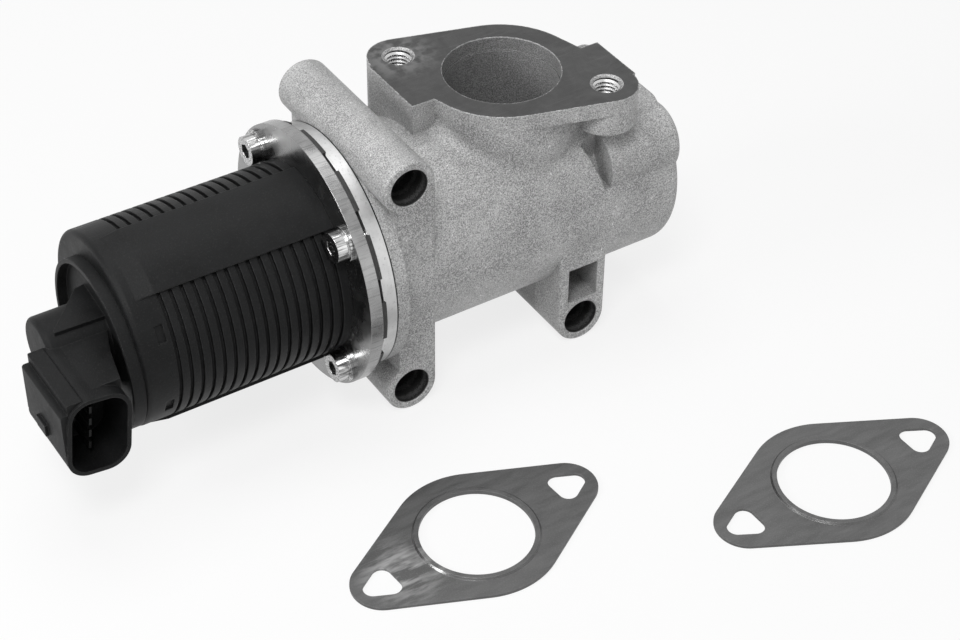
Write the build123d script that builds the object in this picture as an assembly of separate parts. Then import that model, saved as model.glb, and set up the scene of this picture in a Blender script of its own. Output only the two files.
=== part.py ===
from build123d import *
import math
import os

# Exhaust gas recirculation valve with a solenoid drive, and its two loose port gaskets.
# The valve axis runs along X, from the connector at -X to the closed end of the casting at +X.
# Sizes are in millimetres. The pieces are modelled with the valve axis at z = 0 and are then
# lowered, so that the origin of the finished part is the centre of the top port's face.

# Clearances
RUN_GAP = 0.05          # radial gap of a sliding fit
FIT_GAP = 0.08          # gap between seated pieces that do not move
FREE_GAP = 0.3          # gap between pieces that move past each other

# Top port of the casting
PORT_HEIGHT = 39.0      # port face above the valve axis
PORT_BORE_R = 16.9
PORT_BAND = 4.5         # machined band at the top of the bore
PORT_CAST_R = 16.7      # cast wall below it
PORT_RIM_R = 23.6
PORT_BOLT_PITCH = 60.0  # between the two threaded holes
PORT_BOLT_ANGLE = 135.0 # direction of the hole line, seen from above
LOBE_R = 9.0            # rounding of the flange around a threaded hole
FLANGE_T = 5.0
LOBE_T = 11.6           # depth of the thick lobe at +X
THREAD_R = 4.0
THREAD_DEPTH = 15.0
THREAD_CHAMFER = 0.7
NECK_R = 23.5
CORNER_X = 31.0         # straight sides of the two corner blocks
CORNER_Y = 2.5

# Barrel of the casting
BARREL_R = 30.6
BARREL_DROP = 1.1       # barrel centre below the valve axis
BARREL_END_X = 43.5
BARREL_ROUND = 3.0
CAST_FLANGE_RIM = 3.4   # flange, ring, spacer and plate: rims outside the screw circle
JOINT_X = -56.0         # face where the drive is bolted on
CAST_FLANGE_T = 4.0

# Through bosses for the long mounting bolts
BOSS_R = 8.0
BOSS_HOLE_R = 5.5
BOSS_CHAMFER = 0.5
BOSS_ROUND = 0.8
BOSS_FRONT_Y = -29.5
BOSS_BACK_Y = 29.0
BOSS_X = -48.0          # pair beside the drive
BOSS_TOP_Z = 34.6
BOSS_LOW_Z = -35.4      # both lower bosses, which the valve stands on
FAR_BOSS_X = 10.4
POCKET_W = 10.0         # cast pocket above the far boss hole
POCKET_H = 12.0
POCKET_DEPTH = 24.0
POCKET_FLOOR = 1.8      # metal between the pocket and the hole below it

# Bulge along the front of the barrel, and the slot before it
BULGE_R = 10.8
BULGE_X = 19.0
BULGE_Y = -18.8
BULGE_Z = 12.6
BULGE_ROUND = 2.0
SLOT_W = 6.5            # width of the slot at its inner end
SLOT_NARROW = 1.8       # and at its open end
SLOT_FROM_Y = -20.0
SLOT_TO_Y = -29.3
SLOT_FLOOR_R = 25.0
SHELF_Z = 23.4          # flat top of the barrel beside the port
SHELF_X = 20.0

# Rear port
REAR_PORT_X = -31.0
REAR_PORT_W = 13.0
REAR_PORT_H = 26.0
REAR_PAD_WALL = 7.0
REAR_PAD_Y = 29.0       # machined flush with the ends of the bosses

# Chambers, seat and poppet
CHAMBER_R = 17.8
CHAMBER_START_X = -20.0
REAR_CHAMBER_R = 15.0
REAR_CHAMBER_X = -38.5
SEAT_R = 17.0
SEAT_T = 4.0
SEAT_BORE_R = 12.5
SEAT_LIP = 2.0
POPPET_R = 14.6
POPPET_T = 4.0
CONE_R = 8.0            # conical back of the poppet
CONE_END_R = 4.0
CONE_T = 3.0
PLUG_R = 19.0
PLUG_T = 6.0
PLUG_RECESS = 1.0
TRAVEL = 5.0

# Stem, guide and seal
STEM_R = 3.0
GUIDE_R = 6.5
GUIDE_END_X = -36.0
SEAL_R = 8.0
SEAL_T = 3.0
SEAL_CUP_WALL = 0.8
RECESS_R = 24.0         # recess in the drive side of the casting
RECESS_DEPTH = 6.0

# Stack between the casting and the drive
RING_RIM = 3.5
RING_T = 4.3
SPACER_RIM = 4.9
SPACER_T = 1.8
SPACER_SLOTS = 12
SPACER_SLOT_W = 7.0
PLATE_RIM = 5.8
PLATE_LOBE_R = 9.5
PLATE_LOBE_IN = 0.3     # lobe centre inside the screw circle
PLATE_LOBE_ANGLE = 315.0
PLATE_T = 3.7
PLATE_HOLE_R = 9.0

# Screws that hold the drive
SCREW_OUT = 4.5         # screw circle outside the housing
SCREW_ANGLES = (45.0, 140.5, 225.0, 315.0)  # seen from the connector, from +Y towards +Z
SCREW_R = 2.5
SCREW_LENGTH = 20.0
SCREW_HEAD_R = 4.3
SCREW_HEAD_T = 3.3
SCREW_COLLAR_R = 5.2
SCREW_COLLAR_T = 1.0
SCREW_SOCKET_R = 2.3
SCREW_SOCKET_DEPTH = 2.6

# Ribbed solenoid housing
BODY_R = 28.1
BODY_LENGTH = 61.7
BODY_WALL = 5.0
BODY_ROUND = 1.5
BODY_REAR_WALL = 12.0
GROOVE_FIRST = 9.8      # first groove from the connector end
GROOVE_PITCH = 3.25
GROOVE_W = 1.2
GROOVE_DEPTH = 1.2
PAD_RISE = 0.9
PAD_FROM = 49.0         # pad edges, degrees up from the front
PAD_TO = 94.5
PAD_START = 1.8         # pad begins this far from the connector end
PAD_TAPER = 7.0         # and rises over this length
BODY_END_RIM = 10.1      # end face from the housing's side to the hole for the cap
NOTCH_ANGLES = (28.0, -22.0) # snap notches in the smooth band, degrees up from the front
NOTCH_AT = 6.7          # from the connector end
NOTCH_W = 2.4
NOTCH_H = 5.0
NOTCH_DEPTH = 0.8

# Solenoid
SHELL_WALL = 1.5
POLE_T = 3.0
HUB_LENGTH = 11.0
HUB_WALL = 3.1          # round the spring's pocket
SPRING_POCKET_DEPTH = 7.0
SLEEVE_WALL = 0.8
BOBBIN_WALL = 1.3
BOBBIN_FLANGE_T = 2.0
COIL_MARGIN = 3.5       # coil below the rim of the bobbin flange
COIL_DEPTH = 4.39       # depth of the winding
AIR_GAP = 6.2           # armature to pole, at rest
ARMATURE_LENGTH = 18.0
REAR_POLE_HOLE_R = 6.0
NUT_R = 4.5
NUT_T = 2.4
SPRING_WIRE_R = 0.5
SPRING_TURNS = 7

# Sensor cap and connector
CAP_STEP = 3.6          # cap smaller than the housing
CAP_T = 3.5             # height of the cap's rim
CAP_RIM_W = 1.2
CAP_FACE = 0.5          # recessed face of the cap, from the housing's end
CAP_OFFSET_Y = -2.8
CAP_OFFSET_Z = -2.0
CAP_WALL = 1.6
CAP_COLLAR_WALL = 2.0
TOWER_R = 9.7           # round tower on the cap, on the valve axis
TOWER_REACH = 17.4      # its end, from the cap's face
TOWER_ROUND = 1.5
TOWER_BORE_R = 4.0      # bore in the tower for the sensor spring
TOWER_BORE = 10.0
RIB_PLAN = ((0, 7), (3, 6.5), (14.3, -4.6), (14.3, -5.4), (0, -5.7))   # distance from the cap's face, and y
RIB_LOW_TOP = 9.2       # top of the slanting rib at its front edge
RIB_SLOPE = 9.0
BRIDGE_PLAN = ((0, -5.6), (3.5, -15.7), (6, -27), (14.9, -27), (14.9, -5.6))
BRIDGE_TOP = 5.9        # solid bridge between cap and connector
BRIDGE_LOW = -13.0
KEY_X = -152.6          # flat outer side of the connector
KEY_TOP = 3.4
KEY_LOW = -12.0
KEY_ROUND = 0.8
RIDGE_X0 = -150.6       # ridge along the top of the connector
RIDGE_X1 = -146.0
RIDGE_TOP = 6.4
KEY_FRONT_Y = -30.4
LUG = (-153.6, -20.0, -14.5, -10.6, -7.0)   # latch lug on the flat side: x, two y and two z
SOCKET_W = 18.0         # connector socket, outside
SOCKET_H = 25.0
SOCKET_FRONT_Y = -31.0
SOCKET_BACK_Y = -6.0
SOCKET_X = -142.9
SOCKET_Z = -6.6
SOCKET_TILT = 6.5
SOCKET_ROUND = 6.5
SOCKET_WALL = 1.2
SOCKET_CAVITY = 15.0
PIN_COUNT = 5
PIN_PITCH = 3.9
PIN_W = 2.2
PIN_T = 0.7
PIN_REACH = 9.0
PIN_ROOT = 6.0
PLUNGER_R = 2.4
CARRIER_W = 9.0
CARRIER_T = 2.0
SENSOR_SPRING_R = 3.0
SENSOR_WIRE_R = 0.25
SENSOR_TURNS = 9
BOARD_T = 1.0
BOARD_W = 14.0
BOARD_DROP = 9.0
TERMINAL_R = 0.8
TERMINAL_IN = 0.59      # terminals from the inner side of the winding
TERMINAL_Z = 4.5

# Seal rings
SEAL_WIRE_R = 1.0
SEAL_SIDE_GAP = 0.1
SEAL_SLACK = 0.05       # ring thinner than its groove

# Loose gaskets
GASKET_T = 0.8
GASKET_PITCH = 61.6
GASKET_BORE_R = 15.8
GASKET_RIM_R = 23.2
GASKET_LOBE_R = 9.0
GASKET_BEAD_R = 17.6     # outside of the bead round the bore
GASKET_BEAD_RISE = 0.5
GASKET_HOLE_IN = 27.0   # base and apex of the triangular bolt holes, from the centre
GASKET_HOLE_OUT = 40.0
GASKET_HOLE_HALF = 7.0
GASKET_HOLE_ROUND = 2.8
GASKET_PLACES = {"gasket_front": (-59.9, -82.6, 4.6), "gasket_right": (35.2, -117.7, 0.6)}

# Places along the axis that follow from the sizes above
REST_Z = BOSS_LOW_Z - BOSS_R
SCREW_CIRCLE_R = BODY_R + SCREW_OUT
CAST_FLANGE_R = SCREW_CIRCLE_R + CAST_FLANGE_RIM
RING_R = SCREW_CIRCLE_R + RING_RIM
SPACER_R = SCREW_CIRCLE_R + SPACER_RIM
PLATE_R = SCREW_CIRCLE_R + PLATE_RIM
PLATE_LOBE_AT = SCREW_CIRCLE_R - PLATE_LOBE_IN
BOSSES = ((BOSS_X, BOSS_TOP_Z), (BOSS_X, BOSS_LOW_Z), (FAR_BOSS_X, BOSS_LOW_Z))
RING_X = JOINT_X - RING_T
SPACER_X = RING_X - SPACER_T
PLATE_X = SPACER_X - PLATE_T
BODY_END_X = PLATE_X - BODY_LENGTH
BODY_HOLE_R = BODY_R - BODY_END_RIM
GROOVES = int((BODY_LENGTH - GROOVE_FIRST - GROOVE_W) / GROOVE_PITCH) + 1
SHELL_R = BODY_R - BODY_WALL
SHELL_IN_R = SHELL_R - SHELL_WALL
SHELL_END_X = BODY_END_X + BODY_REAR_WALL
BODY_SEAL_R = (SHELL_R + BODY_R) / 2
HUB_END_X = PLATE_X - POLE_T - HUB_LENGTH
REAR_POLE_X = SHELL_END_X + POLE_T
BOBBIN_START_X = REAR_POLE_X + FIT_GAP
BOBBIN_END_X = PLATE_X - POLE_T - FIT_GAP
BOBBIN_FLANGE_R = SHELL_IN_R - FREE_GAP
COIL_R = BOBBIN_FLANGE_R - COIL_MARGIN
COIL_IN_R = COIL_R - COIL_DEPTH
BOBBIN_IN_R = COIL_IN_R - FIT_GAP - BOBBIN_WALL
SLEEVE_R = BOBBIN_IN_R - FIT_GAP
SLEEVE_IN_R = SLEEVE_R - SLEEVE_WALL
ARMATURE_R = SLEEVE_IN_R - RUN_GAP
HUB_R = SLEEVE_IN_R - RUN_GAP
SPRING_POCKET_R = HUB_R - HUB_WALL
SPRING_R = (STEM_R + SPRING_POCKET_R) / 2 + SPRING_WIRE_R
TERMINAL_Y = -(COIL_IN_R + TERMINAL_IN)
ARMATURE_FRONT_X = HUB_END_X - AIR_GAP
ARMATURE_BACK_X = ARMATURE_FRONT_X - ARMATURE_LENGTH
CAP_R = BODY_R - CAP_STEP
CAP_CAVITY_R = BODY_HOLE_R - CAP_COLLAR_WALL
CAP_X = BODY_END_X - CAP_T
CAP_FACE_X = BODY_END_X - CAP_FACE
CAVITY_END_X = CAP_FACE_X + CAP_WALL
TOWER_BORE_X = CAVITY_END_X - TOWER_BORE
NUT_X = ARMATURE_BACK_X - NUT_T
CARRIER_X = SHELL_END_X - TRAVEL - FREE_GAP
POPPET_X = CHAMBER_START_X + 0.5 * FREE_GAP
SEAL_X = JOINT_X + RECESS_DEPTH
BASE = (Align.CENTER, Align.CENTER, Align.MIN)


def xrod(x0, x1, r, y=0.0, z=0.0):
    """Cylinder along X between two x values."""
    return Pos(x0, y, z) * Rot(0, 90, 0) * Cylinder(r, x1 - x0, align=BASE)


def yrod(y0, y1, r, x, z):
    """Cylinder along Y between two y values."""
    return Pos(x, y0, z) * Rot(-90, 0, 0) * Cylinder(r, y1 - y0, align=BASE)


def zrod(z0, z1, r, x=0.0, y=0.0):
    """Cylinder along Z between two z values."""
    return Pos(x, y, z0) * Cylinder(r, z1 - z0, align=BASE)


def xtube(x0, x1, r_out, r_in):
    """Ring along X."""
    return xrod(x0, x1, r_out) - xrod(x0, x1, r_in)


def block(x0, x1, y0, y1, z0, z1):
    """Box between two corners."""
    centre = Pos((x0 + x1) / 2, (y0 + y1) / 2, (z0 + z1) / 2)
    return centre * Box(x1 - x0, y1 - y0, z1 - z0)


def turned(points):
    """Solid of revolution about X from (x, radius) corners."""
    return revolve(make_face(Polyline(*points, close=True)), Axis.X)


def polar(r, degrees):
    """Point on a circle, as (first, second)."""
    return (r * math.cos(math.radians(degrees)), r * math.sin(math.radians(degrees)))


def axis_edges(shape, r, x):
    """Circular edges about the valve axis with this radius and place."""
    found = shape.edges().filter_by(GeomType.CIRCLE)
    return [e for e in found if abs(e.radius - r) < 1e-4 and abs(e.arc_center.X - x) < 1e-4]


def port_bolts():
    """Centres of the two threaded holes, the far lobe first."""
    a = polar(PORT_BOLT_PITCH / 2, PORT_BOLT_ANGLE)
    return [(-a[0], -a[1]), a]


def rhombus(rim_r, lobe_r, reach, angle):
    """Outline of a two-bolt flange: a round middle drawn out to two lobes."""
    lobes = [Pos(*polar(s * reach, angle)) * Circle(lobe_r) for s in (1, -1)]
    hull = make_hull((Circle(rim_r) + lobes[0] + lobes[1]).edges())
    return hull


def port_flange():
    """Top port flange with its neck, thick lobe and two corner blocks."""
    low = PORT_HEIGHT - FLANGE_T
    outline = rhombus(PORT_RIM_R, LOBE_R, PORT_BOLT_PITCH / 2, PORT_BOLT_ANGLE)
    flange = Pos(0, 0, low) * extrude(outline, FLANGE_T)
    neck = zrod(0, PORT_HEIGHT, NECK_R)
    far, near = port_bolts()
    lobe = zrod(PORT_HEIGHT - LOBE_T, PORT_HEIGHT, LOBE_R, *far)
    lobe += block(0, far[0], far[1] / 2, far[1] / 2 + LOBE_R, PORT_HEIGHT - LOBE_T, PORT_HEIGHT)
    corner = block(0, CORNER_X, far[1], -CORNER_Y, PORT_HEIGHT - LOBE_T, PORT_HEIGHT)
    drop = block(-CORNER_X, near[0], -CORNER_Y, near[1], 0, PORT_HEIGHT)
    drop += block(near[0], 0, -CORNER_Y, near[1], 0, PORT_HEIGHT)
    drop += zrod(0, PORT_HEIGHT, LOBE_R, *near)
    return flange + neck + lobe + corner + drop


def boss(x, z):
    """One long through boss with rounded ends."""
    rod = yrod(BOSS_FRONT_Y, BOSS_BACK_Y, BOSS_R, x, z)
    return fillet(rod.edges().filter_by(GeomType.CIRCLE), BOSS_ROUND)


def boss_block():
    """Solid web that joins the two bosses beside the drive to the barrel."""
    right = BOSS_X + BOSS_R
    web = block(JOINT_X + CAST_FLANGE_T, right, BOSS_FRONT_Y, BOSS_BACK_Y, BOSS_LOW_Z, BOSS_TOP_Z)
    return fillet(web.edges().filter_by(Axis.Z).group_by(Axis.X)[-1], BOSS_ROUND)


def far_boss_block():
    """Web from the barrel down to the far boss."""
    x0 = FAR_BOSS_X - BOSS_R
    x1 = FAR_BOSS_X + BOSS_R
    web = block(x0, x1, BOSS_FRONT_Y, BOSS_BACK_Y, BOSS_LOW_Z, 0)
    return fillet(web.edges().filter_by(Axis.Z), BOSS_ROUND)


def far_boss_pocket():
    """Cast pocket in the front of the far web."""
    low = BOSS_LOW_Z + BOSS_HOLE_R + POCKET_FLOOR
    x0 = FAR_BOSS_X - POCKET_W / 2
    y1 = BOSS_FRONT_Y + POCKET_DEPTH
    return block(x0, x0 + POCKET_W, BOSS_FRONT_Y - 1, y1, low, low + POCKET_H)


def bulge():
    """Long round bulge on the front of the barrel."""
    rod = xrod(BULGE_X, BARREL_END_X, BULGE_R, BULGE_Y, BULGE_Z)
    return fillet(rod.edges().sort_by(Axis.X)[-1], BULGE_ROUND)


def bulge_slot():
    """Open slot between the neck and the bulge."""
    inner = (BULGE_X - SLOT_W, SLOT_FROM_Y)
    outer = (BULGE_X - SLOT_NARROW, SLOT_TO_Y)
    tip = (BULGE_X, SLOT_TO_Y)
    plan = make_face(Polyline(inner, (BULGE_X, SLOT_FROM_Y), tip, outer, close=True))
    low = BULGE_Z - 4
    cut = Pos(0, 0, low) * extrude(plan, PORT_HEIGHT - LOBE_T - low)
    return cut - xrod(BULGE_X - SLOT_W, BULGE_X, SLOT_FLOOR_R)


def shelf():
    """Flat on top of the barrel below and behind the thick lobe."""
    far = port_bolts()[0]
    past = BARREL_END_X + 1
    return block(SHELF_X, past, far[1] - LOBE_R, BARREL_R, SHELF_Z, BARREL_R)


def rear_port_outline(grow):
    """Slot-shaped outline of the rear port, grown by a wall."""
    return SlotOverall(REAR_PORT_H + 2 * grow, REAR_PORT_W + 2 * grow, rotation=90)


def rear_prism(grow, y0, y1):
    """Rear port outline drawn out along Y."""
    face = Pos(REAR_PORT_X, y0, 0) * Rot(-90, 0, 0) * rear_port_outline(grow)
    return extrude(face, y1 - y0, dir=(0, 1, 0))


def casting_body():
    """Outside of the casting."""
    barrel = xrod(JOINT_X + CAST_FLANGE_T, BARREL_END_X, BARREL_R, z=-BARREL_DROP)
    barrel = fillet(barrel.edges().sort_by(Axis.X)[-1], BARREL_ROUND)
    body = barrel + xrod(JOINT_X, JOINT_X + CAST_FLANGE_T, CAST_FLANGE_R)
    body += boss_block() + far_boss_block()
    for x, z in BOSSES:
        body += boss(x, z)
    body -= bulge_slot()
    body -= shelf()
    body += port_flange()
    body += bulge()
    body += rear_prism(REAR_PAD_WALL, 0, REAR_PAD_Y)
    return body - rear_prism(REAR_PAD_WALL, REAR_PAD_Y, BARREL_R + 1)


def boss_holes():
    """Long clearance holes with chamfered ends."""
    cut = None
    for x, z in BOSSES:
        hole = yrod(BOSS_FRONT_Y, BOSS_BACK_Y, BOSS_HOLE_R, x, z)
        for y, turn in ((BOSS_FRONT_Y, -90), (BOSS_BACK_Y, 90)):
            cone = Cone(BOSS_HOLE_R + BOSS_CHAMFER, BOSS_HOLE_R, BOSS_CHAMFER, align=BASE)
            hole += Pos(x, y, z) * Rot(turn, 0, 0) * cone
        cut = hole if cut is None else cut + hole
    return cut


def port_threads():
    """Threaded holes of the top port."""
    cut = None
    for x, y in port_bolts():
        hole = zrod(PORT_HEIGHT - THREAD_DEPTH, PORT_HEIGHT, THREAD_R, x, y)
        cone = Cone(THREAD_R, THREAD_R + THREAD_CHAMFER, THREAD_CHAMFER, align=BASE)
        hole += Pos(x, y, PORT_HEIGHT - THREAD_CHAMFER) * cone
        cut = hole if cut is None else cut + hole
    return cut


def screw_places():
    """The (y, z) places of the drive's screws."""
    return [polar(SCREW_CIRCLE_R, a) for a in SCREW_ANGLES]


def screw_holes(x0, x1, r):
    """Four holes along X."""
    cut = None
    for y, z in screw_places():
        hole = xrod(x0, x1, r, y, z)
        cut = hole if cut is None else cut + hole
    return cut


def valve_housing():
    body = casting_body()
    body -= zrod(0, PORT_HEIGHT, PORT_CAST_R)
    body -= zrod(PORT_HEIGHT - PORT_BAND, PORT_HEIGHT, PORT_BORE_R)
    body -= xrod(CHAMBER_START_X, BARREL_END_X - PLUG_T, CHAMBER_R)
    body -= xrod(BARREL_END_X - PLUG_T, BARREL_END_X, PLUG_R)
    body -= xrod(CHAMBER_START_X - SEAT_T, CHAMBER_START_X, SEAT_R)
    lip_x = CHAMBER_START_X - SEAT_T
    body -= xrod(lip_x - SEAT_LIP, lip_x, SEAT_BORE_R)
    body -= xrod(REAR_CHAMBER_X, lip_x - SEAT_LIP, REAR_CHAMBER_R)
    body -= rear_prism(0, 0, REAR_PAD_Y)
    body -= xrod(JOINT_X, JOINT_X + RECESS_DEPTH, RECESS_R)
    body -= xrod(JOINT_X, REAR_CHAMBER_X, GUIDE_R)
    body -= xrod(SEAL_X, SEAL_X + SEAL_T, SEAL_R + SEAL_CUP_WALL)
    body -= boss_holes()
    body -= port_threads()
    body -= far_boss_pocket()
    depth = SCREW_LENGTH - RING_T - SPACER_T - PLATE_T + 1
    body -= screw_holes(JOINT_X, JOINT_X + depth, SCREW_R + FIT_GAP)
    return body


def end_plug():
    """Steel disc, dished on the outside, that closes the chamber."""
    x1 = BARREL_END_X
    disc = xrod(x1 - PLUG_T, x1, PLUG_R - FIT_GAP)
    return disc - xrod(x1 - PLUG_RECESS, x1, PLUG_R - 3 * PLUG_RECESS)


def valve_seat():
    x1 = CHAMBER_START_X
    return xtube(x1 - SEAT_T, x1, SEAT_R - FIT_GAP, SEAT_BORE_R)


def stem_guide():
    return xtube(SEAL_X + SEAL_T, GUIDE_END_X, GUIDE_R - FIT_GAP, STEM_R + RUN_GAP)


def stem_seal():
    return xtube(SEAL_X + SEAL_CUP_WALL, SEAL_X + SEAL_T, SEAL_R - FIT_GAP, STEM_R + RUN_GAP)


def seal_cup():
    """Thin steel cup that holds the stem seal in the casting."""
    rim = xtube(SEAL_X, SEAL_X + SEAL_T, SEAL_R + SEAL_CUP_WALL - FIT_GAP, SEAL_R)
    return rim + xtube(SEAL_X, SEAL_X + SEAL_CUP_WALL, SEAL_R, STEM_R + FREE_GAP)


def adapter_ring():
    ring = xtube(RING_X, JOINT_X, RING_R, RECESS_R)
    return ring - screw_holes(RING_X, JOINT_X, SCREW_R + FREE_GAP)


def spacer_gasket():
    """Thin spacer with open slots around its rim that keep heat from the drive."""
    ring = xtube(SPACER_X, RING_X, SPACER_R, RECESS_R)
    ring -= screw_holes(SPACER_X, RING_X, SCREW_R + FREE_GAP)
    for i in range(SPACER_SLOTS):
        turn = Rot((i + 0.5) * 360 / SPACER_SLOTS, 0, 0)
        half = SPACER_SLOT_W / 2
        ring -= turn * block(SPACER_X, RING_X, SPACER_R - 5, SPACER_R + 1, -half, half)
    return ring


def mounting_plate():
    """Round steel plate with a lobe at one of its screws."""
    plate = xrod(PLATE_X, SPACER_X, PLATE_R)
    plate += xrod(PLATE_X, SPACER_X, PLATE_LOBE_R, *polar(PLATE_LOBE_AT, PLATE_LOBE_ANGLE))
    plate -= xrod(PLATE_X, SPACER_X, PLATE_HOLE_R)
    return plate - screw_holes(PLATE_X, SPACER_X, SCREW_R + FREE_GAP)


def plate_screws():
    """Four socket-head screws with a collar under the head."""
    screws = []
    for y, z in screw_places():
        screw = xrod(PLATE_X, PLATE_X + SCREW_LENGTH, SCREW_R, y, z)
        screw += xrod(PLATE_X - SCREW_COLLAR_T, PLATE_X, SCREW_COLLAR_R, y, z)
        top = PLATE_X - SCREW_COLLAR_T - SCREW_HEAD_T
        screw += xrod(top, PLATE_X, SCREW_HEAD_R, y, z)
        socket = Pos(top, y, z) * Rot(0, 90, 0) * RegularPolygon(SCREW_SOCKET_R, 6)
        screw -= extrude(socket, SCREW_SOCKET_DEPTH, dir=(1, 0, 0))
        screws.append(screw)
    return Compound(children=screws)


def pad(sign):
    """Smooth raised pad along the housing, above or below."""
    mid = sign * (PAD_FROM + PAD_TO) / 2
    half = (PAD_TO - PAD_FROM) / 2
    x0 = BODY_END_X + PAD_START
    low = BODY_R - 2 * GROOVE_DEPTH
    top = BODY_R + PAD_RISE
    ring = turned([(x0, low), (x0, BODY_R - 0.3), (x0 + PAD_TAPER, top), (PLATE_X, top), (PLATE_X, low)])
    a = polar(2 * BODY_R, 180 - mid - half)
    b = polar(2 * BODY_R, 180 - mid + half)
    across = Plane(origin=(x0, 0, 0), x_dir=(0, 1, 0), z_dir=(1, 0, 0))
    wedge = across * make_face(Polyline((0, 0), a, b, close=True))
    return ring & extrude(wedge, PLATE_X - x0, dir=(1, 0, 0))


def snap_notches():
    """Shallow notches in the smooth band of the housing."""
    x = BODY_END_X + NOTCH_AT
    cuts = []
    for angle in NOTCH_ANGLES:
        y, z = polar(BODY_R, 180 - angle)
        cuts.append(Pos(x, y, z) * Rot(-angle, 0, 0) * Box(NOTCH_W, 2 * NOTCH_DEPTH, NOTCH_H))
    return cuts


def solenoid_housing():
    """Ribbed plastic housing, open towards the casting."""
    body = xrod(BODY_END_X, PLATE_X, BODY_R)
    body = fillet(body.edges().sort_by(Axis.X)[0], BODY_ROUND)
    for i in range(GROOVES):
        x0 = BODY_END_X + GROOVE_FIRST + i * GROOVE_PITCH - GROOVE_W / 2
        body -= xtube(x0, x0 + GROOVE_W, BODY_R + GROOVE_DEPTH, BODY_R - GROOVE_DEPTH)
    body += pad(1)
    body += pad(-1)
    for notch in snap_notches():
        body -= notch
    body -= xrod(SHELL_END_X, PLATE_X, SHELL_R + FIT_GAP)
    body -= xrod(BODY_END_X, SHELL_END_X, BODY_HOLE_R)
    side = SEAL_WIRE_R + SEAL_SIDE_GAP
    groove = xtube(PLATE_X - 2 * SEAL_WIRE_R, PLATE_X, BODY_SEAL_R + side, BODY_SEAL_R - side)
    x1 = PLATE_X - SCREW_COLLAR_T - SCREW_HEAD_T - FREE_GAP
    return body - groove - screw_holes(x1, PLATE_X, SCREW_COLLAR_R + FREE_GAP)


def body_seal():
    x = PLATE_X - SEAL_WIRE_R
    return Pos(x, 0, 0) * Rot(0, 90, 0) * Torus(BODY_SEAL_R, SEAL_WIRE_R - SEAL_SLACK)


def flux_shell():
    return xtube(SHELL_END_X, PLATE_X, SHELL_R, SHELL_IN_R)


def rear_pole():
    disc = xtube(SHELL_END_X, REAR_POLE_X, SHELL_IN_R - FIT_GAP, REAR_POLE_HOLE_R)
    for z in (TERMINAL_Z, -TERMINAL_Z):
        disc -= xrod(SHELL_END_X, REAR_POLE_X, 2 * TERMINAL_R, TERMINAL_Y, z)
    return disc


def front_pole():
    """Pole disc with the hub that pulls the armature."""
    back = PLATE_X - POLE_T
    pole = xrod(back, PLATE_X, SHELL_IN_R - FIT_GAP) + xrod(HUB_END_X, back, HUB_R)
    pole -= xrod(HUB_END_X, HUB_END_X + SPRING_POCKET_DEPTH, SPRING_POCKET_R)
    return pole - xrod(HUB_END_X, PLATE_X, STEM_R + FREE_GAP)


def guide_sleeve():
    return xtube(BOBBIN_START_X, BOBBIN_END_X, SLEEVE_R, SLEEVE_IN_R)


def bobbin():
    tube_r = BOBBIN_IN_R + BOBBIN_WALL
    form = xrod(BOBBIN_START_X, BOBBIN_END_X, tube_r)
    form += xrod(BOBBIN_START_X, BOBBIN_START_X + BOBBIN_FLANGE_T, BOBBIN_FLANGE_R)
    form += xrod(BOBBIN_END_X - BOBBIN_FLANGE_T, BOBBIN_END_X, BOBBIN_FLANGE_R)
    form -= xrod(BOBBIN_START_X, BOBBIN_END_X, BOBBIN_IN_R)
    for z in (TERMINAL_Z, -TERMINAL_Z):
        x1 = BOBBIN_START_X + BOBBIN_FLANGE_T
        form -= xrod(BOBBIN_START_X, x1, TERMINAL_R, TERMINAL_Y, z)
    return form


def coil_winding():
    x0 = BOBBIN_START_X + BOBBIN_FLANGE_T + FIT_GAP
    x1 = BOBBIN_END_X - BOBBIN_FLANGE_T - FIT_GAP
    return xtube(x0, x1, COIL_R, COIL_IN_R)


def coil_terminals():
    """Two pins from the coil into the sensor cap."""
    x0 = CAVITY_END_X + 1
    x1 = BOBBIN_START_X + BOBBIN_FLANGE_T
    pins = [xrod(x0, x1, TERMINAL_R, TERMINAL_Y, z) for z in (TERMINAL_Z, -TERMINAL_Z)]
    return Compound(children=pins)


def armature():
    slug = xtube(ARMATURE_BACK_X, ARMATURE_FRONT_X, ARMATURE_R, STEM_R + FIT_GAP)
    ends = axis_edges(slug, ARMATURE_R, ARMATURE_BACK_X) + axis_edges(slug, ARMATURE_R, ARMATURE_FRONT_X)
    return chamfer(ends, 0.5)


def armature_nut():
    face = Pos(NUT_X, 0, 0) * Rot(0, 90, 0) * RegularPolygon(NUT_R, 6)
    return extrude(face, NUT_T, dir=(1, 0, 0)) - xrod(NUT_X, ARMATURE_BACK_X, STEM_R + FIT_GAP)


def valve_stem():
    return xrod(NUT_X, POPPET_X, STEM_R)


def valve_poppet():
    """Poppet disc with a conical back."""
    x1 = POPPET_X + POPPET_T
    disc = xrod(POPPET_X, x1, POPPET_R) + Pos(x1, 0, 0) * Rot(0, 90, 0) * Cone(CONE_R, CONE_END_R, CONE_T, align=BASE)
    return disc


def helix_spring(x0, x1, r, wire_r, turns):
    """Coil spring along X with its ends pressed flat by the length of one wire."""
    length = x1 - x0 - 2 * wire_r
    path = Helix(pitch=length / turns, height=length, radius=r)
    start = Plane(origin=path @ 0, z_dir=path % 0)
    wire = sweep(start * Circle(wire_r), path=path)
    return Pos(x0 + wire_r, 0, 0) * Rot(0, 90, 0) * wire


def return_spring():
    x1 = HUB_END_X + SPRING_POCKET_DEPTH - FIT_GAP
    return helix_spring(ARMATURE_FRONT_X + FIT_GAP, x1, SPRING_R, SPRING_WIRE_R, SPRING_TURNS)


def socket_outline(shrink):
    """Rounded outline of the connector socket, in its own plane."""
    w = SOCKET_W - 2 * shrink
    h = SOCKET_H - 2 * shrink
    return RectangleRounded(w, h, SOCKET_ROUND - shrink)


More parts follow.
